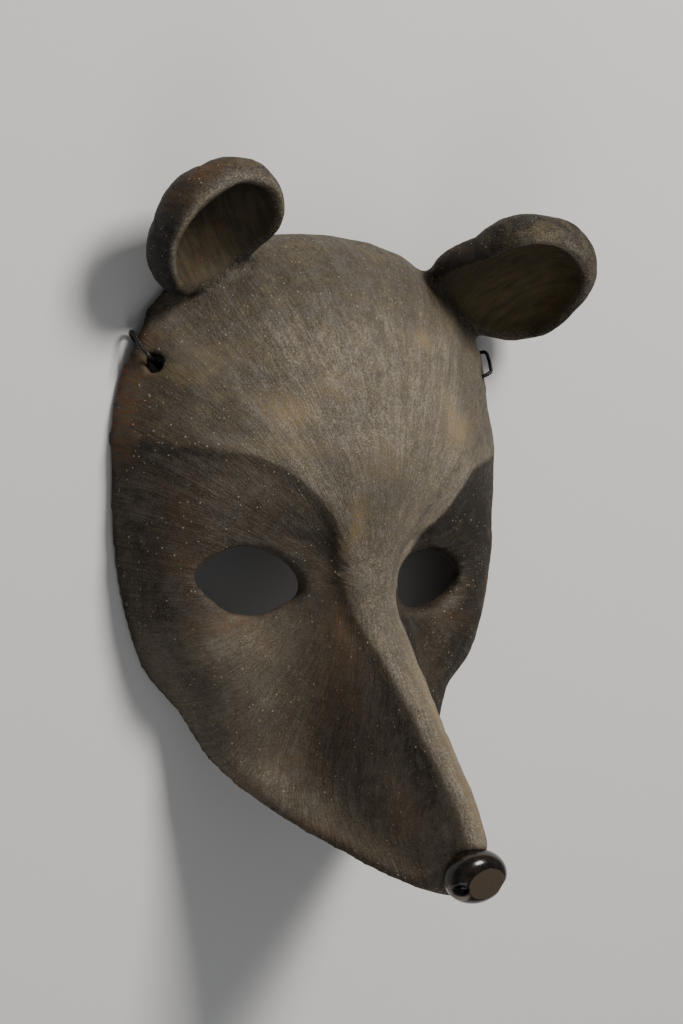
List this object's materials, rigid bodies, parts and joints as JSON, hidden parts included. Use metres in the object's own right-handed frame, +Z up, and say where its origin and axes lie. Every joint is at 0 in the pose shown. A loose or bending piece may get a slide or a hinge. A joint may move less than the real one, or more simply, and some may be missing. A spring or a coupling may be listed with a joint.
{
  "type": "animal mask",
  "caption": "Hollow wearable animal mask with a domed forehead, almond eye holes, two cupped ears, a long snout with a glossy nose and a tie cord, lying face up.",
  "frame": {"origin": "on the ground, under the middle of the mask and its nose", "axes": "+Z up, out of the face; +Y from the nose towards the top of the head; +X across the face"},
  "size_m": [0.1556, 0.2064, 0.0984],
  "materials": {
    "clay": "matte",
    "glaze": "gloss",
    "elastic": "satin"
  },
  "bodies": {
    "root": {"mask": "clay", "nose": "glaze", "cord": "elastic"}
  },
  "joints": []
}
